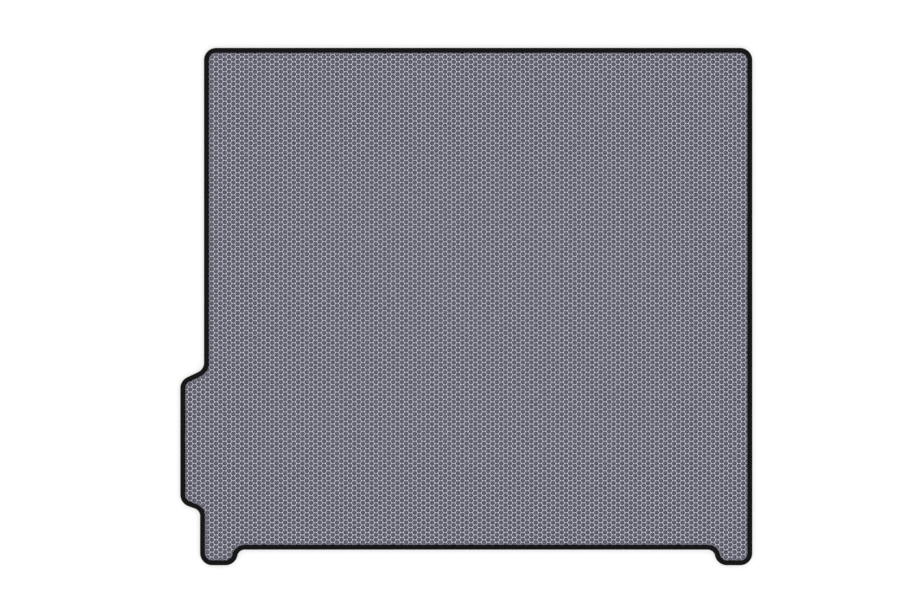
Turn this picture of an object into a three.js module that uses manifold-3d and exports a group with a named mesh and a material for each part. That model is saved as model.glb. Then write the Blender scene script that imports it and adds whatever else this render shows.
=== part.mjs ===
// Car boot liner: a pressed honeycomb sheet of EVA foam, cut to the boot floor, with a woven tape
// folded over its cut edge and sewn down.
//
// Millimetres, +Z up. The origin is on the underside, halfway along the overall width and length.
// +Y points forward to the rear seats, -Y to the tailgate, and the lobe is on the -X side.

import * as THREE from 'three';
import { mergeVertices } from 'three/addons/utils/BufferGeometryUtils.js';
import Module from 'manifold-3d';

const wasm = await Module();
wasm.setup();

// Plan of the liner, over the tape
const LINER_WIDTH = 1100; // over the lobe
const LINER_LENGTH = 995; // over the ears
const LOBE_REACH_FRONT = 45.5; // how far the lobe stands out from the edge in front of it
const LOBE_REACH_REAR = 38; // and from the edge behind it
const LOBE_SETBACK = 105.5; // ends of the ears to the foot of the lobe's rear ramp
const LOBE_REAR_RAMP = 13.5;
const LOBE_LENGTH = 236.5; // the lobe's straight side, between its corners
const LOBE_FRONT_RAMP = 21.5;
const EAR_WIDTH = 68; // across an ear's end
const EAR_LENGTH = 30; // which is the depth of the sill notch between the ears
const EAR_RAMP = 6.5; // an ear is this much wider at its root
const CORNER_RADIUS = 23.5; // every outward corner
const NOTCH_RADIUS = 14; // inward corners at the ears' roots
const LOBE_FRONT_RADIUS = 20; // inward corner at the foot of the front ramp
const LOBE_REAR_RADIUS = 15; // inward corner at the foot of the rear ramp

// Honeycomb sheet
const SHEET_THICKNESS = 10;
const CELL_PITCH = 9.5; // from one cell to the next, across the flats
const RIB_WIDTH = 2; // the wall between two cells, at its top
const CELL_DEPTH = 6;
const RIB_DRAFT = 8; // slope of the cell walls, in degrees
const CELLS_PER_DRAWN_CELL = 7; // a cell drawn here stands for this many real ones across; 1 draws them all
const PRESSED_THICKNESS = 6.4; // the margin that the tape grips, squeezed by the seam
const ROLL_WIDTH = 3; // the ribs bend down to the tape over this width
const ROLL_DROP = 1.4;
const RIM_WIDTH = 3.5; // flat rib beside the roll, which closes the cells that the border cuts

// Edge tape
const TAPE_THICKNESS = 1;
const TAPE_OVERLAP = 9.1; // how far the folded tape reaches in over the sheet
const TAPE_FOLD_RADIUS = 3; // outside of the two folds along the cut edge
const SEAT_GAP = 0.3; // between the tape and the sheet

const ARC_STEPS = 4; // facets round each corner of the plan
const FOLD_STEPS = 3; // facets round each fold of the tape
const SMALLEST_CELL = 0.3; // a cell that the border cuts down to less than this share is left out

const tapeHeight = PRESSED_THICKNESS + 2 * (TAPE_THICKNESS + SEAT_GAP);
const lowFold = TAPE_FOLD_RADIUS; // heights of the middles of the tape's two folds
const highFold = tapeHeight - TAPE_FOLD_RADIUS;
const fieldInset = TAPE_OVERLAP + SEAT_GAP; // outline to the full thickness of the sheet

// The plan's corners, counter-clockwise from the tailgate end of the right side. An inward corner is
// told from an outward one by the way the outline turns there.
function planCorners() {
  const right = LINER_WIDTH / 2;
  const lobeSide = -LINER_WIDTH / 2;
  const leftFront = lobeSide + LOBE_REACH_FRONT;
  const leftRear = lobeSide + LOBE_REACH_REAR;
  const front = LINER_LENGTH / 2;
  const rear = -LINER_LENGTH / 2;
  const sill = rear + EAR_LENGTH;

  const lobeRearFoot = rear + LOBE_SETBACK;
  const lobeRearCorner = lobeRearFoot + LOBE_REAR_RAMP;
  const lobeFrontCorner = lobeRearCorner + LOBE_LENGTH;
  const lobeFrontFoot = lobeFrontCorner + LOBE_FRONT_RAMP;

  const corner = (x, y, radius = CORNER_RADIUS) => ({ at: new THREE.Vector2(x, y), radius });
  return [
    corner(right, rear),
    corner(right, front),
    corner(leftFront, front),
    corner(leftFront, lobeFrontFoot, LOBE_FRONT_RADIUS),
    corner(lobeSide, lobeFrontCorner),
    corner(lobeSide, lobeRearCorner),
    corner(leftRear, lobeRearFoot, LOBE_REAR_RADIUS),
    corner(leftRear, rear),
    corner(leftRear + EAR_WIDTH, rear),
    corner(leftRear + EAR_WIDTH + EAR_RAMP, sill, NOTCH_RADIUS),
    corner(right - EAR_WIDTH - EAR_RAMP, sill, NOTCH_RADIUS),
    corner(right - EAR_WIDTH, rear),
  ];
}

// The arc that rounds one corner: its centre, its radius, and the angles that it turns through.
function cornerArc(previous, { at, radius }, next) {
  const arriving = at.clone().sub(previous.at).normalize();
  const leaving = next.at.clone().sub(at).normalize();
  const turn = Math.atan2(arriving.cross(leaving), arriving.dot(leaving));
  const outward = Math.sign(turn);
  const toCentre = new THREE.Vector2(-arriving.y, arriving.x).multiplyScalar(outward);
  const centre = at
    .clone()
    .addScaledVector(arriving, -radius * Math.tan(Math.abs(turn) / 2))
    .addScaledVector(toCentre, radius);
  return { centre, radius, outward, turn, from: Math.atan2(-toCentre.y, -toCentre.x) };
}

const corners = planCorners();
const arcs = corners.map((corner, i) =>
  cornerArc(corners.at(i - 1), corner, corners[(i + 1) % corners.length]),
);

// The plan's outline drawn in by inset all round. Each arc keeps its centre, so every inset has the
// same points in the same order.
function outline(inset) {
  return arcs.flatMap(({ centre, radius, outward, turn, from }) =>
    Array.from({ length: ARC_STEPS + 1 }, (_, step) => {
      const angle = from + (turn * step) / ARC_STEPS;
      const spoke = new THREE.Vector2(Math.cos(angle), Math.sin(angle));
      return centre.clone().addScaledVector(spoke, radius - outward * inset);
    }),
  );
}

// Carries a section round the plan. The section is a list of [inset, height] points that runs up its
// outer side. A closed section makes a ring; an open one is capped across its first and last outlines.
function carryRound(section, closed) {
  const rings = section.map(([inset, height]) => ({ points: outline(inset), height }));
  const count = rings[0].points.length;
  const positions = rings.flatMap(({ points, height }) => points.flatMap((p) => [p.x, p.y, height]));
  const faces = [];

  const spans = closed ? rings.length : rings.length - 1;
  for (let i = 0; i < spans; i++) {
    const lower = i * count;
    const upper = ((i + 1) % rings.length) * count;
    for (let j = 0; j < count; j++) {
      const k = (j + 1) % count;
      faces.push(lower + j, lower + k, upper + k, lower + j, upper + k, upper + j);
    }
  }
  if (!closed) {
    const top = (rings.length - 1) * count;
    for (const [a, b, c] of THREE.ShapeUtils.triangulateShape(rings[0].points, [])) faces.push(a, c, b);
    for (const [a, b, c] of THREE.ShapeUtils.triangulateShape(rings.at(-1).points, []))
      faces.push(top + a, top + b, top + c);
  }

  const geometry = new THREE.BufferGeometry();
  geometry.setAttribute('position', new THREE.Float32BufferAttribute(positions, 3));
  geometry.setIndex(faces);
  return geometry;
}

function toSolid(geometry) {
  const bare = geometry.clone();
  bare.deleteAttribute('normal');
  bare.deleteAttribute('uv');
  const merged = mergeVertices(bare);
  return new wasm.Manifold(
    new wasm.Mesh({
      numProp: 3,
      vertProperties: new Float32Array(merged.attributes.position.array),
      triVerts: new Uint32Array(merged.index.array),
    }),
  );
}

function toGeometry(solid) {
  const { vertProperties, triVerts } = solid.getMesh();
  const geometry = new THREE.BufferGeometry();
  geometry.setAttribute('position', new THREE.BufferAttribute(vertProperties, 3));
  geometry.setIndex(new THREE.BufferAttribute(triVerts, 1));
  return geometry;
}

// A quarter turn of a section round one of the tape's two folds, at a given radius from the fold's
// middle. Angles run from -90, straight down, through 0, straight out, to 90, straight up.
function fold(radius, height, from, to) {
  return Array.from({ length: FOLD_STEPS + 1 }, (_, step) => {
    const angle = THREE.MathUtils.degToRad(from + ((to - from) * step) / FOLD_STEPS);
    return [TAPE_FOLD_RADIUS - radius * Math.cos(angle), height + radius * Math.sin(angle)];
  });
}

// The blank that the cells are pressed into: full thickness inside the tape, and a thinner margin all
// round that fills the folded tape.
function sheetBlank() {
  const marginBottom = TAPE_THICKNESS + SEAT_GAP;
  const marginRadius = TAPE_FOLD_RADIUS - marginBottom;
  return toSolid(
    carryRound(
      [
        [fieldInset, 0],
        [fieldInset, marginBottom],
        ...fold(marginRadius, lowFold, -90, 0),
        ...fold(marginRadius, highFold, 0, 90),
        [fieldInset, marginBottom + PRESSED_THICKNESS],
        [fieldInset, SHEET_THICKNESS - ROLL_DROP],
        [fieldInset + ROLL_WIDTH, SHEET_THICKNESS],
      ],
      false,
    ),
  );
}

// One cell as a tapered six-sided plug, standing on the cell's floor and passing out of the sheet's top,
// with two of its flats facing +Y and -Y.
function cellPlug(pitch, ribWidth) {
  const clear = 1; // past the sheet's top
  const slope = Math.tan(THREE.MathUtils.degToRad(RIB_DRAFT));
  const acrossTop = pitch - ribWidth;
  const flatsToCorners = 1 / Math.sqrt(3);
  const plug = new THREE.CylinderGeometry(
    (acrossTop + 2 * clear * slope) * flatsToCorners,
    (acrossTop - 2 * CELL_DEPTH * slope) * flatsToCorners,
    CELL_DEPTH + clear,
    6,
  );
  plug.rotateX(Math.PI / 2);
  plug.rotateZ(Math.PI / 2);
  plug.translate(0, 0, SHEET_THICKNESS + clear - (CELL_DEPTH + clear) / 2);
  return plug;
}

// Cells in columns along Y, every other column shifted half a pitch, cut off at a rib that follows the tape.
function honeycomb() {
  const pitch = CELL_PITCH * CELLS_PER_DRAWN_CELL;
  const ribWidth = RIB_WIDTH * CELLS_PER_DRAWN_CELL;
  const columnPitch = pitch * Math.cos(Math.PI / 6);
  const plug = cellPlug(pitch, ribWidth);
  const wholeCell = toSolid(plug).volume();

  const plugs = [];
  const columns = Math.ceil(LINER_WIDTH / 2 / columnPitch);
  const rows = Math.ceil(LINER_LENGTH / 2 / pitch);
  for (let column = -columns; column <= columns; column++) {
    const shift = column % 2 === 0 ? 0 : pitch / 2;
    for (let row = -rows; row <= rows; row++)
      plugs.push(toSolid(plug.clone().translate(column * columnPitch, row * pitch + shift, 0)));
  }

  const rim = fieldInset + ROLL_WIDTH + RIM_WIDTH;
  const field = toSolid(carryRound([[rim, 0], [rim, 2 * SHEET_THICKNESS]], false));
  const cells = wasm.Manifold.union(plugs).intersect(field).decompose();
  return wasm.Manifold.union(cells.filter((cell) => cell.volume() > SMALLEST_CELL * wholeCell));
}

// The tape's section: up the outside, over the top fold, back along the underside of the upper flange,
// down inside the fold and out again along the lower flange.
function tapeSection() {
  const insideRadius = TAPE_FOLD_RADIUS - TAPE_THICKNESS;
  return [
    ...fold(TAPE_FOLD_RADIUS, lowFold, -90, 0),
    ...fold(TAPE_FOLD_RADIUS, highFold, 0, 90),
    [TAPE_OVERLAP, tapeHeight],
    [TAPE_OVERLAP, tapeHeight - TAPE_THICKNESS],
    ...fold(insideRadius, highFold, 90, 0),
    ...fold(insideRadius, lowFold, 0, -90),
    [TAPE_OVERLAP, TAPE_THICKNESS],
    [TAPE_OVERLAP, 0],
  ];
}

function part(name, geometry, color, roughness) {
  const material = new THREE.MeshStandardMaterial({ color, roughness, metalness: 0, flatShading: true });
  const mesh = new THREE.Mesh(geometry, material);
  mesh.name = name;
  return mesh;
}

const liner = new THREE.Group();
liner.name = 'boot_liner';
liner.add(part('honeycomb_sheet', toGeometry(sheetBlank().subtract(honeycomb())), 0x8e8e9b, 0.85));
liner.add(part('edge_tape', carryRound(tapeSection(), true), 0x161617, 0.7));

export default liner;
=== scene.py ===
# Car boot liner: a sheet of foam pressed into a honeycomb, with a woven tape folded over its cut edge
# and sewn down. Metres, +Z up, +Y towards the rear seats, the tailgate at -Y.

import math

import bmesh
import bpy
import numpy as np
from mathutils import Euler, Matrix, Vector, kdtree


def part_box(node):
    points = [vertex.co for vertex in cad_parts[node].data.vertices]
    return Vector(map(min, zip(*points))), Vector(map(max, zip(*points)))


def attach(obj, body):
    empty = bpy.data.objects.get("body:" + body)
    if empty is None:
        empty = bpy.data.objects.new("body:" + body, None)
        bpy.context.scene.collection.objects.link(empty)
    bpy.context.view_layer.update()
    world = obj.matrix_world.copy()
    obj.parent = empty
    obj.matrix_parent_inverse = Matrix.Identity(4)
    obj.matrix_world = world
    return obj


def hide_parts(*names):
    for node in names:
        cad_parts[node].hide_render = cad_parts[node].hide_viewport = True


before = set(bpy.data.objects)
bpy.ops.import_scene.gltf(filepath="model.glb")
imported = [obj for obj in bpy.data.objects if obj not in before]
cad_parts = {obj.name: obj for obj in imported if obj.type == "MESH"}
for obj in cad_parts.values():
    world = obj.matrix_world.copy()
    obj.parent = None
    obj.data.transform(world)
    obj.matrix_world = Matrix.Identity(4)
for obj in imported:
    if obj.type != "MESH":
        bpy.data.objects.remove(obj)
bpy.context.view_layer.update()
scene = bpy.context.scene
print("frame loaded")


# Outline of the liner, over the tape

plan = {
    "lobeReachFront": 0.0455,  # how far the lobe stands out from the edge in front of it
    "lobeReachRear": 0.038,
    "lobeSetback": 0.1055,  # ends of the ears to the foot of the lobe
    "lobeRearRamp": 0.0135,
    "lobeLength": 0.2365,
    "lobeFrontRamp": 0.0215,
    "earWidth": 0.068,
    "earLength": 0.030,
    "earRamp": 0.0065,
    "cornerRadius": 0.0235,
    "notchRadius": 0.014,
    "lobeFrontRadius": 0.020,
    "lobeRearRadius": 0.015,
    "arcPoints": 17,  # along each rounded corner
    "weld": 0.000001,
}


def planCorners():
    low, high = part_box("edge_tape")
    leftFront = low.x + plan["lobeReachFront"]
    leftRear = low.x + plan["lobeReachRear"]
    sill = low.y + plan["earLength"]
    earRoot = plan["earWidth"] + plan["earRamp"]
    lobeRearFoot = low.y + plan["lobeSetback"]
    lobeRearCorner = lobeRearFoot + plan["lobeRearRamp"]
    lobeFrontCorner = lobeRearCorner + plan["lobeLength"]
    lobeFrontFoot = lobeFrontCorner + plan["lobeFrontRamp"]
    plain = plan["cornerRadius"]
    return [
        (Vector((high.x, low.y)), plain),
        (Vector((high.x, high.y)), plain),
        (Vector((leftFront, high.y)), plain),
        (Vector((leftFront, lobeFrontFoot)), plan["lobeFrontRadius"]),
        (Vector((low.x, lobeFrontCorner)), plain),
        (Vector((low.x, lobeRearCorner)), plain),
        (Vector((leftRear, lobeRearFoot)), plan["lobeRearRadius"]),
        (Vector((leftRear, low.y)), plain),
        (Vector((leftRear + plan["earWidth"], low.y)), plain),
        (Vector((leftRear + earRoot, sill)), plan["notchRadius"]),
        (Vector((high.x - earRoot, sill)), plan["notchRadius"]),
        (Vector((high.x - plan["earWidth"], low.y)), plain),
    ]


# The outline drawn in by inset, as points and the way in from each. Every inset has the same ways in.
def planLine(inset):
    corners = planCorners()
    points, inward = [], []
    for i, (corner, radius) in enumerate(corners):
        arriving = (corner - corners[i - 1][0]).normalized()
        leaving = (corners[(i + 1) % len(corners)][0] - corner).normalized()
        turn = math.atan2(arriving.cross(leaving), arriving.dot(leaving))
        outward = math.copysign(1, turn)
        toCentre = Vector((-arriving.y, arriving.x)) * outward
        centre = corner - arriving * radius * math.tan(abs(turn) / 2) + toCentre * radius
        start = math.atan2(-toCentre.y, -toCentre.x)
        for angle in np.linspace(start, start + turn, plan["arcPoints"]):
            spoke = Vector((math.cos(angle), math.sin(angle)))
            points.append(centre + spoke * (radius - outward * inset))
            inward.append(-outward * spoke)
    return np.array(points), np.array(inward)


def lineLength(inset):
    points = planLine(inset)[0]
    return np.linalg.norm(np.roll(points, -1, 0) - points, axis=1).sum()


# The same line in equal steps. It starts and ends at the middle of the longest stretch.
def evenLine(inset, steps):
    points, inward = planLine(inset)
    stretches = np.linalg.norm(np.roll(points, -1, 0) - points, axis=1)
    turned = -1 - int(np.argmax(stretches))
    points, inward = np.roll(points, turned, 0), np.roll(inward, turned, 0)
    middle = (points[0] + points[-1]) / 2
    points = np.vstack([middle, points, middle])
    inward = np.vstack([inward[0], inward, inward[0]])
    along = np.concatenate([[0], np.cumsum(np.linalg.norm(np.diff(points, axis=0), axis=1))])
    places = np.linspace(0, along[-1], steps + 1)
    line = np.column_stack([np.interp(places, along, points[:, axis]) for axis in (0, 1)])
    ways = np.column_stack([np.interp(places, along, inward[:, axis]) for axis in (0, 1)])
    return line, ways / np.linalg.norm(ways, axis=1)[:, None]


# A flat grid carried round the plan and joined end to end. insets and heights give the place of each
# grid point: one row for each point of the line, one column for each point of the section.
def carryRound(line, ways, insets, heights):
    steps, across = insets.shape[0] - 1, insets.shape[1] - 1
    bm = bmesh.new()
    bm.loops.layers.uv.verify()
    bmesh.ops.create_grid(bm, x_segments=steps, y_segments=across, size=0.5, calc_uvs=True)
    lowX, lowY = min(v.co.x for v in bm.verts), min(v.co.y for v in bm.verts)
    for v in bm.verts:
        i = round((v.co.x - lowX) * steps)
        j = round((v.co.y - lowY) * across)
        x, y = line[i] + ways[i] * insets[i, j]
        v.co = (x, y, heights[i, j])
    bmesh.ops.remove_doubles(bm, verts=bm.verts, dist=plan["weld"])
    return bm


def newPiece(name, bm, material):
    mesh = bpy.data.meshes.new(name)
    bm.to_mesh(mesh)
    bm.free()
    mesh.materials.append(material)
    piece = bpy.data.objects.new(name, mesh)
    scene.collection.objects.link(piece)
    return piece


def applyModifiers(piece):
    shown = piece.evaluated_get(bpy.context.evaluated_depsgraph_get())
    mesh = bpy.data.meshes.new_from_object(shown)
    piece.modifiers.clear()
    piece.data = mesh


# Shader helpers

def newMaterial(name):
    material = bpy.data.materials.new(name)
    material.use_nodes = True
    tree = material.node_tree
    return material, tree.nodes, tree.links, tree.nodes["Principled BSDF"]


# Adds a node. Names of inputs set their values, and other names set the node's own options.
def newNode(nodes, kind, options=None, **inputs):
    node = nodes.new(kind)
    for key, value in (options or {}).items():
        setattr(node, key, value)
    for key, value in inputs.items():
        node.inputs[key.replace("_", " ")].default_value = value
    return node


def remap(nodes, low, high, **options):
    return newNode(nodes, "ShaderNodeMapRange", options, To_Min=low, To_Max=high)


# Fine grain that foam, tape and thread share: an uneven height, and a patchy shade.

grainLook = {
    "fibreDetail": 4,
    "fibreShare": 0.45,  # the rest of the height is pebbles
    "patchScale": 90,
    "patchDetail": 3,
}


def grainGroup():
    group = bpy.data.node_groups.new("fineGrain", "ShaderNodeTree")
    group.interface.new_socket("Vector", in_out="INPUT", socket_type="NodeSocketVector")
    group.interface.new_socket("Grain Size", in_out="INPUT", socket_type="NodeSocketFloat")
    group.interface.new_socket("Height", in_out="OUTPUT", socket_type="NodeSocketFloat")
    group.interface.new_socket("Shade", in_out="OUTPUT", socket_type="NodeSocketFloat")
    nodes, links = group.nodes, group.links
    entry = nodes.new("NodeGroupInput")
    leave = nodes.new("NodeGroupOutput")
    scale = newNode(nodes, "ShaderNodeMath", {"operation": "DIVIDE"})
    scale.inputs[0].default_value = 1
    pebbles = newNode(nodes, "ShaderNodeTexVoronoi", {"feature": "SMOOTH_F1"})
    fibres = newNode(nodes, "ShaderNodeTexNoise", Detail=grainLook["fibreDetail"])
    patches = newNode(nodes, "ShaderNodeTexNoise")
    patches.inputs["Scale"].default_value = grainLook["patchScale"]
    patches.inputs["Detail"].default_value = grainLook["patchDetail"]
    both = newNode(nodes, "ShaderNodeMix", {"data_type": "FLOAT"}, Factor=grainLook["fibreShare"])
    links.new(entry.outputs["Grain Size"], scale.inputs[1])
    for texture in (pebbles, fibres):
        links.new(entry.outputs["Vector"], texture.inputs["Vector"])
        links.new(scale.outputs[0], texture.inputs["Scale"])
    links.new(entry.outputs["Vector"], patches.inputs["Vector"])
    links.new(pebbles.outputs["Distance"], both.inputs["A"])
    links.new(fibres.outputs["Fac"], both.inputs["B"])
    links.new(both.outputs["Result"], leave.inputs["Height"])
    links.new(patches.outputs["Fac"], leave.inputs["Shade"])
    return group


fineGrain = grainGroup()


# Honeycomb sheet

sheet = {
    "pitch": 0.009467,  # from cell to cell in a column
    "columnPitch": 0.008301,
    "aCellAt": (-0.04087, 0.04422),  # the middle of one cell
    "ribWidth": 0.0003,  # flat top of a rib
    "ribRound": 0.0004,  # depth of the bevel along each side of that flat
    "depth": 0.0060,
    "draft": math.radians(11),
    "fieldInset": 0.0097,  # outline to the step down beside the tape
    "edgeInset": 0.0012,  # outline to the cut edge inside the tape
    "edgeBevel": 0.0018,
    "marginBottom": 0.0014,  # heights of the squeezed margin inside the tape
    "marginTop": 0.0072,
    "roll": ((0.0097, 0.0094), (0.0106, 0.0097), (0.0122, 0.0099), (0.0149, 0.0100)),  # inset, height
    "shallowWidth": 0.0050,  # beside the tape the floors of the cells rise over this width
    "shallowLift": 0.0034,
    "borderSteps": 4000,
    "strips": 4,  # one sheet, drawn in strips that meet along the middle of a rib
    "weld": 0.00001,
}

foamLook = {
    # Painted light and shade: the walls of the cells are painted dark, where shade falls in them, and
    # faces that look up are painted lighter.
    "wall": (0.155, 0.155, 0.202, 1),
    "flat": (0.43, 0.43, 0.525, 1),  # floors of the cells, painted lighter than the walls
    "flatShares": ((0, 0.4), (0.3, 0.4), (0.4, 1), (1, 0.2)),  # share of that painted lighter tone, from the underside up, less of it towards the top
    "flatSlopes": (0.5, 0.8),  # cosines of the slopes between which a wall turns into a floor
    # Painted highlight: a pale tone painted on the tops of the ribs, where light falls on them.
    "crestHighlight": (0.74, 0.74, 0.85, 1),
    "crestDepth": 0.0002,  # how far the painted highlight reaches down from the tops of the ribs
    "highlightUnevenness": 0.4,  # how unevenly it does so
    "patchiness": 0.06,
    "speckle": 0.09,
    "roughness": 0.82,
    "roughnessSpread": 0.08,
    "specular": 0.135,
    "grainSize": 0.0005,
    "grainDepth": 0.00016,
}


def foamMaterial():
    material, nodes, links, shader = newMaterial("evaFoam")
    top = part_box("honeycomb_sheet")[1].z
    patchiness, unevenHighlight, speckle = foamLook["patchiness"], foamLook["highlightUnevenness"], foamLook["speckle"]
    roughness, spread = foamLook["roughness"], foamLook["roughnessSpread"]
    place = nodes.new("ShaderNodeTexCoord")
    grain = newNode(nodes, "ShaderNodeGroup", {"node_tree": fineGrain}, Grain_Size=foamLook["grainSize"])
    axes = nodes.new("ShaderNodeSeparateXYZ")
    # Painted highlight on the tops of the ribs, reaching down unevenly in patches.
    height = remap(nodes, 0, 1, clamp=False)
    height.inputs["From Min"].default_value = top - foamLook["crestDepth"]
    height.inputs["From Max"].default_value = top
    highlightJitter = remap(nodes, -unevenHighlight, unevenHighlight)
    level = newNode(nodes, "ShaderNodeMath", {"operation": "ADD", "use_clamp": True})
    # Painted light and shade: faces that look up, most of all at the floors' height, take the lighter
    # floor tone, and steep walls the dark wall tone.
    slopes = nodes.new("ShaderNodeSeparateXYZ")
    upright = newNode(nodes, "ShaderNodeMath", {"operation": "ABSOLUTE"})
    flatness = remap(nodes, 0, 1)
    flatness.inputs["From Min"].default_value = foamLook["flatSlopes"][0]
    flatness.inputs["From Max"].default_value = foamLook["flatSlopes"][1]
    rise = remap(nodes, 0, 1)
    rise.inputs["From Max"].default_value = top
    nearFloor = nodes.new("ShaderNodeValToRGB")
    stops = nearFloor.color_ramp.elements
    for _ in foamLook["flatShares"][2:]:
        stops.new(1)
    for stop, (position, share) in zip(stops, foamLook["flatShares"]):
        stop.position = position
        stop.color = (share, share, share, 1)
    flatShare = newNode(nodes, "ShaderNodeMath", {"operation": "MULTIPLY"})
    ground = newNode(nodes, "ShaderNodeMix", {"data_type": "RGBA"})
    ground.inputs["A"].default_value = foamLook["wall"]
    ground.inputs["B"].default_value = foamLook["flat"]
    tint = newNode(nodes, "ShaderNodeMix", {"data_type": "RGBA"})
    tint.inputs["B"].default_value = foamLook["crestHighlight"]
    shade = remap(nodes, 1 - patchiness, 1 + patchiness)
    specks = remap(nodes, 1 - speckle, 1 + speckle)
    both = newNode(nodes, "ShaderNodeMath", {"operation": "MULTIPLY"})
    patchy = newNode(nodes, "ShaderNodeVectorMath", {"operation": "SCALE"})
    rough = remap(nodes, roughness - spread, roughness + spread)
    bump = newNode(nodes, "ShaderNodeBump", Distance=foamLook["grainDepth"])
    links.new(place.outputs["Object"], grain.inputs["Vector"])
    links.new(place.outputs["Object"], axes.inputs[0])
    links.new(axes.outputs["Z"], height.inputs["Value"])
    links.new(grain.outputs["Shade"], highlightJitter.inputs["Value"])
    links.new(height.outputs["Result"], level.inputs[0])
    links.new(highlightJitter.outputs["Result"], level.inputs[1])
    links.new(place.outputs["Normal"], slopes.inputs[0])
    links.new(slopes.outputs["Z"], upright.inputs[0])
    links.new(upright.outputs[0], flatness.inputs["Value"])
    links.new(axes.outputs["Z"], rise.inputs["Value"])
    links.new(rise.outputs["Result"], nearFloor.inputs["Fac"])
    links.new(flatness.outputs["Result"], flatShare.inputs[0])
    links.new(nearFloor.outputs["Color"], flatShare.inputs[1])
    links.new(flatShare.outputs[0], ground.inputs["Factor"])
    links.new(ground.outputs["Result"], tint.inputs["A"])
    links.new(level.outputs[0], tint.inputs["Factor"])
    links.new(grain.outputs["Shade"], shade.inputs["Value"])
    links.new(grain.outputs["Height"], specks.inputs["Value"])
    links.new(shade.outputs["Result"], both.inputs[0])
    links.new(specks.outputs["Result"], both.inputs[1])
    links.new(tint.outputs["Result"], patchy.inputs[0])
    links.new(both.outputs[0], patchy.inputs["Scale"])
    links.new(patchy.outputs[0], shader.inputs["Base Color"])
    links.new(grain.outputs["Height"], rough.inputs["Value"])
    links.new(rough.outputs["Result"], shader.inputs["Roughness"])
    links.new(grain.outputs["Height"], bump.inputs["Height"])
    links.new(bump.outputs["Normal"], shader.inputs["Normal"])
    shader.inputs["Specular IOR Level"].default_value = foamLook["specular"]
    return material


# Two cells side by side, the second half a pitch on, each with its half of the ribs round it. The mouth
# of a cell has twelve sides, so that the ribs widen where three of them meet.
def cellPair():
    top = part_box("honeycomb_sheet")[1].z
    mouth = (sheet["pitch"] - sheet["ribWidth"]) / 2
    throat = mouth * math.cos(math.pi / 6)  # its corners stay inside the mouth
    foot = throat - (sheet["depth"] - sheet["ribRound"]) * math.tan(sheet["draft"])
    levels = (  # sides, reach to a side and drop from the top
        (6, sheet["pitch"] / 2, 0),
        (12, mouth, 0),
        (6, throat, sheet["ribRound"]),
        (6, foot, sheet["depth"]),
    )
    bm = bmesh.new()
    above = []
    for sides, reach, drop in levels:
        place = Matrix.Translation((0, 0, top - drop)) @ Matrix.Rotation(math.pi / sides, 4, "Z")
        ring = bmesh.ops.create_circle(
            bm,
            cap_ends=drop == sheet["depth"],
            segments=sides,
            radius=reach / math.cos(math.pi / sides),
            matrix=place,
        )["verts"]
        edges = list({edge for v in ring for edge in v.link_edges})
        if above:
            bmesh.ops.bridge_loops(bm, edges=above + edges)
        above = edges
    stretch = sheet["columnPitch"] / (sheet["pitch"] * math.cos(math.pi / 6))
    bmesh.ops.scale(bm, vec=(stretch, 1, 1), verts=bm.verts)
    second = bmesh.ops.duplicate(bm, geom=bm.verts[:] + bm.edges[:] + bm.faces[:])["geom"]
    moved = [v for v in second if isinstance(v, bmesh.types.BMVert)]
    bmesh.ops.translate(bm, vec=(sheet["columnPitch"], sheet["pitch"] / 2, 0), verts=moved)
    bmesh.ops.remove_doubles(bm, verts=bm.verts, dist=sheet["weld"])
    return bm


# Columns of cells in pairs, with plain sides and a flat underside, longer and deeper than the liner.
def cellSlab(firstPair, pairs, rows, material):
    atX, atY = sheet["aCellAt"]
    corner = (atX + firstPair * 2 * sheet["columnPitch"], atY - rows // 2 * sheet["pitch"], 0)
    bm = cellPair()
    bmesh.ops.translate(bm, vec=corner, verts=bm.verts)
    slab = newPiece("cellSlab", bm, material)
    for count, offset in ((rows, (0, sheet["pitch"], 0)), (pairs, (2 * sheet["columnPitch"], 0, 0))):
        array = slab.modifiers.new("cells", "ARRAY")
        array.count = count
        array.use_relative_offset = False
        array.use_constant_offset = True
        array.constant_offset_displace = offset
        array.use_merge_vertices = True
        array.merge_threshold = sheet["weld"]
    applyModifiers(slab)

    bm = bmesh.new()
    bm.from_mesh(slab.data)
    rim = [edge for edge in bm.edges if edge.is_boundary]
    skirt = bmesh.ops.extrude_edge_only(bm, edges=rim)["geom"]
    for v in skirt:
        if isinstance(v, bmesh.types.BMVert):
            v.co.z = -sheet["depth"]
    bmesh.ops.edgeloop_fill(bm, edges=[edge for edge in bm.edges if edge.is_boundary])
    bmesh.ops.recalc_face_normals(bm, faces=bm.faces)
    bm.to_mesh(slab.data)
    bm.free()
    return slab


# Lifts the floors of the cells beside the tape, in a soft curve, where the seam squeezes the foam.
def liftFloors(slab):
    border = evenLine(0, sheet["borderSteps"])[0]
    tree = kdtree.KDTree(len(border))
    for i, point in enumerate(border):
        tree.insert((*point, 0), i)
    tree.balance()
    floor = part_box("honeycomb_sheet")[1].z - sheet["depth"]
    for v in slab.data.vertices:
        if abs(v.co.z - floor) > sheet["depth"] / 2:
            continue
        away = tree.find((v.co.x, v.co.y, 0))[2] - sheet["fieldInset"]
        share = min(max(1 - away / sheet["shallowWidth"], 0), 1)
        v.co.z += sheet["shallowLift"] * share * share * (3 - 2 * share)


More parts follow.
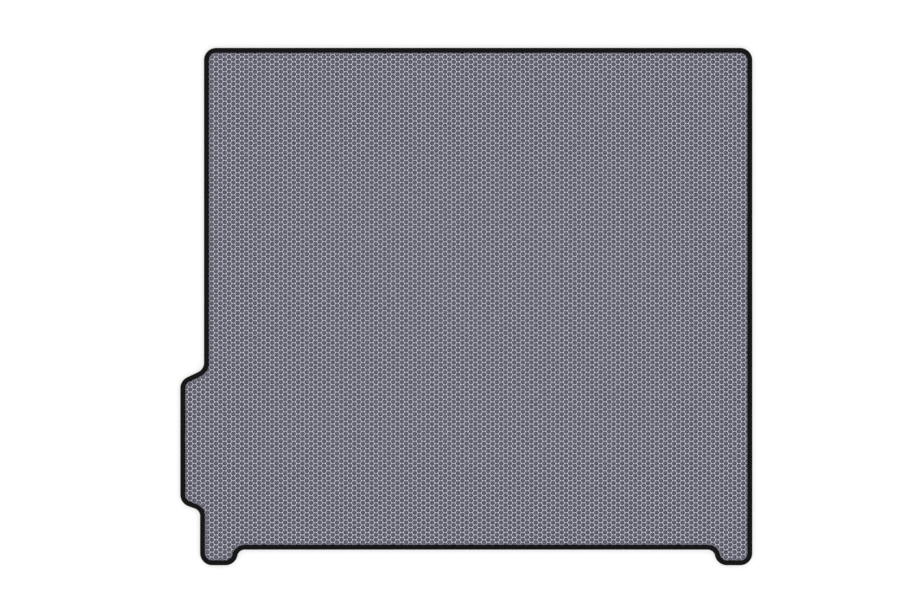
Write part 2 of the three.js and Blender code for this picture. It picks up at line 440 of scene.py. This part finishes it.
# The sheet without its cells: a thin margin inside the tape, and a roll up to the full thickness. It
# goes on above the ribs, so that it cuts them only along the roll.
def sheetBlank(material):
    field, edge, bevel = sheet["fieldInset"], sheet["edgeInset"], sheet["edgeBevel"]
    low, high = sheet["marginBottom"], sheet["marginTop"]
    section = [
        (field, 0),
        (field, low),
        (edge + bevel, low),
        (edge, low + bevel),
        (edge, high - bevel),
        (edge + bevel, high),
        (field, high),
        *sheet["roll"],
        (sheet["roll"][-1][0], 2 * sheet["roll"][-1][1]),
    ]
    line, ways = planLine(0)
    line, ways = np.vstack([line, line[:1]]), np.vstack([ways, ways[:1]])
    insets, heights = (np.tile(values, (len(line), 1)) for values in zip(*section))
    bm = carryRound(line, ways, insets, heights)
    bmesh.ops.holes_fill(bm, edges=[e for e in bm.edges if e.is_boundary])
    bmesh.ops.recalc_face_normals(bm, faces=bm.faces)
    return newPiece("sheetBlank", bm, material)


def buildSheet():
    material = foamMaterial()
    low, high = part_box("honeycomb_sheet")
    blank = sheetBlank(material)
    pairWidth = 2 * sheet["columnPitch"]
    first = math.floor((low.x - sheet["aCellAt"][0]) / pairWidth) - 1
    last = math.ceil((high.x - sheet["aCellAt"][0]) / pairWidth) + 1
    rows = 2 * math.ceil(((high.y - low.y) / 2 + sheet["aCellAt"][1]) / sheet["pitch"]) + 2
    cuts = np.linspace(first, last, sheet["strips"] + 1).round().astype(int)
    strips = []
    for number, (start, end) in enumerate(zip(cuts[:-1], cuts[1:]), 1):
        strip = cellSlab(int(start), int(end - start), rows, material)
        strip.name = f"honeycombSheet_{number}"
        liftFloors(strip)
        cut = strip.modifiers.new("outline", "BOOLEAN")
        cut.operation = "INTERSECT"
        cut.solver = "MANIFOLD"
        cut.object = blank
        applyModifiers(strip)
        strips.append(strip)
    bpy.data.objects.remove(blank)
    return strips


sheetStrips = buildSheet()
for strip in sheetStrips:
    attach(strip, "root")
    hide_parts("honeycomb_sheet")
print("honeycomb sheet")


# Edge tape

tape = {
    "overlap": 0.0095,
    "thickness": 0.0010,
    "foldRadius": 0.0034,  # outside of the two folds along the cut edge
    "foldSteps": 5,
    "flangeSteps": 7,
    "stitchInset": 0.0067,
    "stitchPitch": 0.0045,
    "ringsPerStitch": 2,
    "seamDip": 0.0005,  # how far the seam draws the tape in
    "seamWidth": 0.0016,
    "holeDip": 0.0002,  # how much further at each hole
    "pucker": 0.00022,  # height of the small folds at the outward corners
    "puckerPitch": 0.0066,
    "wander": 0.00016,  # how unevenly the tape's edge runs
    "wanderWaves": ((37, 0.1), (61, 0.7), (113, 0.4)),  # turns round the liner, and phase
}

tapeLook = {
    "light": (0.0100, 0.0100, 0.0103, 1),
    "dark": (0.0026, 0.0026, 0.0027, 1),
    "lightFrom": (-0.3, 1.2),  # heights of the weave between which painted shade turns into painted light
    "edgeShade": 0.45,  # painted shade: share of the tone along the edges and the fold
    "middle": 1.15,  # painted sheen: share of the tone halfway between them
    "roughness": 0.62,
    "specular": 0.02,
    "threadPitch": 0.0008,
    "weaveShare": 0.5,  # of the weave in the height, beside the grain
    "weaveDepth": 0.00022,
    "grainSize": 0.0003,
}


stitches = round(lineLength(tape["stitchInset"]) / tape["stitchPitch"])


# Spans across the folded section, outside and inside and over the two tips.
def sectionSpans():
    return 4 * (tape["flangeSteps"] + tape["foldSteps"])


def tapeMaterial():
    material, nodes, links, shader = newMaterial("wovenTape")
    place = nodes.new("ShaderNodeTexCoord")
    grain = newNode(nodes, "ShaderNodeGroup", {"node_tree": fineGrain}, Grain_Size=tapeLook["grainSize"])
    links.new(place.outputs["Object"], grain.inputs["Vector"])
    axes = nodes.new("ShaderNodeSeparateXYZ")
    links.new(place.outputs["UV"], axes.inputs[0])
    around = round(lineLength(0) / tapeLook["threadPitch"])
    across = round(4 * tape["overlap"] / tapeLook["threadPitch"])
    waves = []
    for axis, threads in (("X", around), ("Y", across)):
        turns = newNode(nodes, "ShaderNodeMath", {"operation": "MULTIPLY"})
        turns.inputs[1].default_value = threads * math.pi
        wave = newNode(nodes, "ShaderNodeMath", {"operation": "SINE"})
        links.new(axes.outputs[axis], turns.inputs[0])
        links.new(turns.outputs[0], wave.inputs[0])
        waves.append(wave)
    weave = newNode(nodes, "ShaderNodeMath", {"operation": "MULTIPLY"})
    links.new(waves[0].outputs[0], weave.inputs[0])
    links.new(waves[1].outputs[0], weave.inputs[1])
    height = newNode(nodes, "ShaderNodeMath", {"operation": "MULTIPLY_ADD"})
    height.inputs[1].default_value = tapeLook["weaveShare"]
    links.new(weave.outputs[0], height.inputs[0])
    links.new(grain.outputs["Height"], height.inputs[2])
    # Painted light and shade: higher parts of the weave and grain are painted lighter, the gaps between
    # the threads darker.
    mask = remap(nodes, 0, 1)
    mask.inputs["From Min"].default_value = tapeLook["lightFrom"][0]
    mask.inputs["From Max"].default_value = tapeLook["lightFrom"][1]
    tint = newNode(nodes, "ShaderNodeMix", {"data_type": "RGBA"})
    tint.inputs["A"].default_value = tapeLook["dark"]
    tint.inputs["B"].default_value = tapeLook["light"]
    # The tone swells once over each face, from the tape's edge to the middle of the fold: painted shade at
    # both ends and a painted sheen halfway.
    faceSpans = tape["flangeSteps"] + tape["foldSteps"] - 1
    widths = newNode(nodes, "ShaderNodeMath", {"operation": "MULTIPLY"})
    widths.inputs[1].default_value = math.pi * sectionSpans() / faceSpans
    hump = newNode(nodes, "ShaderNodeMath", {"operation": "SINE"})
    between = newNode(nodes, "ShaderNodeMath", {"operation": "ABSOLUTE"})
    tone = remap(nodes, tapeLook["edgeShade"], tapeLook["middle"])
    toned = newNode(nodes, "ShaderNodeVectorMath", {"operation": "SCALE"})
    links.new(axes.outputs["Y"], widths.inputs[0])
    links.new(widths.outputs[0], hump.inputs[0])
    links.new(hump.outputs[0], between.inputs[0])
    links.new(between.outputs[0], tone.inputs["Value"])
    bump = newNode(nodes, "ShaderNodeBump", Distance=tapeLook["weaveDepth"])
    links.new(height.outputs[0], mask.inputs["Value"])
    links.new(mask.outputs["Result"], tint.inputs["Factor"])
    links.new(tint.outputs["Result"], toned.inputs[0])
    links.new(tone.outputs["Result"], toned.inputs["Scale"])
    links.new(toned.outputs[0], shader.inputs["Base Color"])
    links.new(height.outputs[0], bump.inputs["Height"])
    links.new(bump.outputs["Normal"], shader.inputs["Normal"])
    shader.inputs["Roughness"].default_value = tapeLook["roughness"]
    shader.inputs["Specular IOR Level"].default_value = tapeLook["specular"]
    return material


# The middle of the folded tape, from the edge of its lower flange round to the edge of its upper one:
# inset, height and the way out of the fold, as an angle.
def foldedMiddle():
    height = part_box("edge_tape")[1].z
    radius = tape["foldRadius"] - tape["thickness"] / 2
    half = tape["thickness"] / 2
    flange = np.linspace(tape["overlap"], tape["foldRadius"], tape["flangeSteps"])[:-1]
    middle = [(inset, half, -math.pi / 2) for inset in flange]
    for angle in np.linspace(-math.pi / 2, math.pi / 2, 2 * tape["foldSteps"] + 1):
        centre = tape["foldRadius"] if angle < 0 else height - tape["foldRadius"]
        inset = tape["foldRadius"] - radius * math.cos(angle)
        middle.append((inset, centre + radius * math.sin(angle), angle))
    middle += [(inset, height - half, math.pi / 2) for inset in reversed(flange)]
    return np.array(middle)


# How far the tape is drawn down towards the sheet, for each ring and each point of the section.
def seamPull(insets, along, bend):
    seam = np.exp(-(((insets - tape["stitchInset"]) / tape["seamWidth"]) ** 2))[None, :]
    free = np.clip((insets - tape["foldRadius"]) / (tape["overlap"] - tape["foldRadius"]), 0, 1)[None, :]
    holes = 0.5 + 0.5 * np.cos(2 * math.pi * along * stitches)
    length = lineLength(tape["stitchInset"])
    folds = 0.5 - 0.5 * np.cos(2 * math.pi * along * round(length / tape["puckerPitch"]))
    pull = tape["seamDip"] * seam + tape["holeDip"] * seam * holes[:, None]
    return pull + tape["pucker"] * np.clip(bend, 0, 1)[:, None] * folds[:, None] * free


def buildTape():
    steps = stitches * tape["ringsPerStitch"]
    line, ways = evenLine(tape["stitchInset"], steps)
    along = np.linspace(0, 1, steps + 1)
    turned = np.roll(ways[:-1], -1, 0) - ways[:-1]
    bend = np.linalg.norm(turned, axis=1) * steps / lineLength(tape["stitchInset"]) * plan["cornerRadius"]
    convex = ways[:-1, 0] * turned[:, 1] - ways[:-1, 1] * turned[:, 0] > 0
    bend = np.where(convex, bend, 0)
    bend = np.append(bend, bend[0])

    middle = foldedMiddle()
    pull = seamPull(middle[:, 0], along, bend)
    half = tape["thickness"] / 2
    out = np.column_stack([-np.cos(middle[:, 2]), np.sin(middle[:, 2])])
    outer = middle[:, :2] + out * half
    inner = (middle[:, :2] - out * half)[::-1]
    tip = np.array([half, 0])
    section = np.vstack([outer, middle[-1:, :2] + tip, inner, middle[:1, :2] + tip, outer[:1]])
    side = np.sign(out[:, 1])
    pulls = -pull * side[None, :]
    pulls = np.hstack([pulls, pulls[:, -1:], pulls[:, ::-1], pulls[:, :1], pulls[:, :1]])
    wander = sum(np.sin(2 * math.pi * (turns * along + phase)) for turns, phase in tape["wanderWaves"])
    free = np.clip((section[:, 0] - tape["stitchInset"]) / (tape["overlap"] - tape["stitchInset"]), 0, 1)
    insets = section[None, :, 0] + tape["wander"] * wander[:, None] * free[None, :]
    heights = section[None, :, 1] + pulls
    bm = carryRound(line, ways, insets - tape["stitchInset"], heights)
    bmesh.ops.recalc_face_normals(bm, faces=bm.faces)
    for face in bm.faces:
        face.smooth = True
    return newPiece("foldedTape", bm, tapeMaterial())


foldedTape = buildTape()
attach(foldedTape, "root")
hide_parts("edge_tape")
print("edge tape")


# Sewing thread

thread = {
    "diameter": 0.00062,
    "span": 0.86,  # share of the stitch pitch that shows between two holes
    "sides": 6,
    "cuts": 3,
    "taper": 0.35,  # how much thinner a stitch is at its ends
    "dive": 1.6,  # how far its ends go down, in radii
    "proud": 0.2,  # height of its middle above the seam's valley, in diameters
    "tilt": math.radians(2.5),
    "seed": 4,
}

threadLook = {
    "light": (0.012, 0.012, 0.0125, 1),
    "dark": (0.006, 0.006, 0.0062, 1),
    "roughness": 0.55,
    "specular": 0.135,
    "grainSize": 0.00012,
    "twistDepth": 0.00004,
}


def threadMaterial():
    material, nodes, links, shader = newMaterial("sewingThread")
    place = nodes.new("ShaderNodeTexCoord")
    grain = newNode(nodes, "ShaderNodeGroup", {"node_tree": fineGrain}, Grain_Size=threadLook["grainSize"])
    tint = newNode(nodes, "ShaderNodeMix", {"data_type": "RGBA"})
    tint.inputs["A"].default_value = threadLook["dark"]
    tint.inputs["B"].default_value = threadLook["light"]
    bump = newNode(nodes, "ShaderNodeBump", Distance=threadLook["twistDepth"])
    links.new(place.outputs["Object"], grain.inputs["Vector"])
    links.new(grain.outputs["Height"], tint.inputs["Factor"])
    links.new(tint.outputs["Result"], shader.inputs["Base Color"])
    links.new(grain.outputs["Height"], bump.inputs["Height"])
    links.new(bump.outputs["Normal"], shader.inputs["Normal"])
    shader.inputs["Roughness"].default_value = threadLook["roughness"]
    shader.inputs["Specular IOR Level"].default_value = threadLook["specular"]
    return material


# One stitch along X, arched between the two holes that it goes down into.
def oneStitch():
    radius = thread["diameter"] / 2
    length = thread["span"] * tape["stitchPitch"]
    bm = bmesh.new()
    bmesh.ops.create_cone(
        bm, cap_ends=True, segments=thread["sides"], radius1=radius, radius2=radius, depth=length
    )
    long = [edge for edge in bm.edges if abs(edge.verts[0].co.z - edge.verts[1].co.z) > radius]
    bmesh.ops.subdivide_edges(bm, edges=long, cuts=thread["cuts"], use_grid_fill=False)
    bmesh.ops.rotate(bm, verts=bm.verts, matrix=Matrix.Rotation(math.pi / 2, 3, "Y"))
    for v in bm.verts:
        share = 2 * abs(v.co.x) / length
        v.co.y *= 1 - thread["taper"] * share**2
        v.co.z *= 1 - thread["taper"] * share**2
        v.co.z -= thread["dive"] * radius * share**2
    for face in bm.faces:
        face.smooth = True
    mesh = bpy.data.meshes.new("oneStitch")
    bm.to_mesh(mesh)
    bm.free()
    return mesh


def buildThread(name, height, up, material):
    random = np.random.RandomState(thread["seed"])
    unit = oneStitch()
    line = evenLine(tape["stitchInset"], stitches)[0]
    bm = bmesh.new()
    for start, end in zip(line[:-1], line[1:]):
        course = end - start
        heading = math.atan2(course[1], course[0]) + random.uniform(-1, 1) * thread["tilt"]
        bm.from_mesh(unit)
        new = bm.verts[-len(unit.vertices):]
        turn = Euler((0 if up else math.pi, 0, heading)).to_matrix().to_4x4()
        place = Matrix.Translation((*(start + end) / 2, height)) @ turn
        bmesh.ops.transform(bm, matrix=place, verts=new)
    bpy.data.meshes.remove(unit)
    return newPiece(name, bm, material)


sewingThread = threadMaterial()
tapeLow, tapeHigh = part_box("edge_tape")
sink = tape["seamDip"] - thread["proud"] * thread["diameter"]
stitchRows = [
    buildThread("upperStitches", tapeHigh.z - sink, True, sewingThread),
    buildThread("lowerStitches", tapeLow.z + sink, False, sewingThread),
]
for piece in stitchRows:
    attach(piece, "root")
print("sewing thread")


# Floor, light and camera

studio = {
    "ambient": 0.5,  # light from all round, on the liner
    "sunTilt": math.radians(50),
    "sunSize": math.radians(40),
    "suns": ((35, 0.17), (125, 0.12), (215, 0.12), (305, 0.12)),  # heading, share of the level
    "floorSize": 60,
    "floorColor": 0.40,
    "floorLift": 0.62,  # what the camera sees besides, so that the lit floor is white
    "lens": 135,
    "frameWidth": 1.7692,  # what the picture's width takes in, at the liner's height
    "aim": (-0.01214, 0.00016),  # the point under the middle of the picture
}


# One for what the camera sees, also in gloss and through glass, and nought for the light on the liner.
def seenByCamera(nodes, links):
    path = nodes.new("ShaderNodeLightPath")
    direct = newNode(nodes, "ShaderNodeMath", {"operation": "ADD"})
    seen = newNode(nodes, "ShaderNodeMath", {"operation": "ADD", "use_clamp": True})
    links.new(path.outputs["Is Camera Ray"], direct.inputs[0])
    links.new(path.outputs["Is Glossy Ray"], direct.inputs[1])
    links.new(direct.outputs[0], seen.inputs[0])
    links.new(path.outputs["Is Transmission Ray"], seen.inputs[1])
    return seen.outputs[0]


def buildFloor():
    bm = bmesh.new()
    bmesh.ops.create_grid(bm, x_segments=1, y_segments=1, size=studio["floorSize"] / 2)
    material, nodes, links, shader = newMaterial("whiteFloor")
    shader.inputs["Base Color"].default_value = (*[studio["floorColor"]] * 3, 1)
    shader.inputs["Roughness"].default_value = 1
    shader.inputs["Specular IOR Level"].default_value = 0
    lift = newNode(nodes, "ShaderNodeMath", {"operation": "MULTIPLY"})
    lift.inputs[1].default_value = studio["floorLift"]
    shader.inputs["Emission Color"].default_value = (1, 1, 1, 1)
    links.new(seenByCamera(nodes, links), lift.inputs[0])
    links.new(lift.outputs[0], shader.inputs["Emission Strength"])
    floor = newPiece("floor", bm, material)


def buildLight():
    world = bpy.data.worlds.new("studio")
    world.use_nodes = True
    scene.world = world
    nodes, links = world.node_tree.nodes, world.node_tree.links
    background = nodes["Background"]
    background.inputs["Color"].default_value = (1, 1, 1, 1)
    strength = remap(nodes, studio["ambient"], 1)
    links.new(seenByCamera(nodes, links), strength.inputs["Value"])
    links.new(strength.outputs["Result"], background.inputs["Strength"])
    for number, (heading, share) in enumerate(studio["suns"], 1):
        data = bpy.data.lights.new(f"softbox{number}", "SUN")
        data.energy = share * math.pi / math.cos(studio["sunTilt"])
        data.angle = studio["sunSize"]
        lamp = bpy.data.objects.new(f"softbox{number}", data)
        lamp.rotation_euler = (studio["sunTilt"], 0, math.radians(heading))
        scene.collection.objects.link(lamp)


def buildCamera():
    data = bpy.data.cameras.new("camera")
    data.lens = studio["lens"]
    distance = studio["frameWidth"] * data.lens / data.sensor_width
    camera = bpy.data.objects.new("camera", data)
    camera.location = (*studio["aim"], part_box("edge_tape")[1].z / 2 + distance)
    scene.collection.objects.link(camera)
    scene.camera = camera


buildFloor()
buildLight()
buildCamera()
scene.view_settings.view_transform = "Standard"
print("studio")
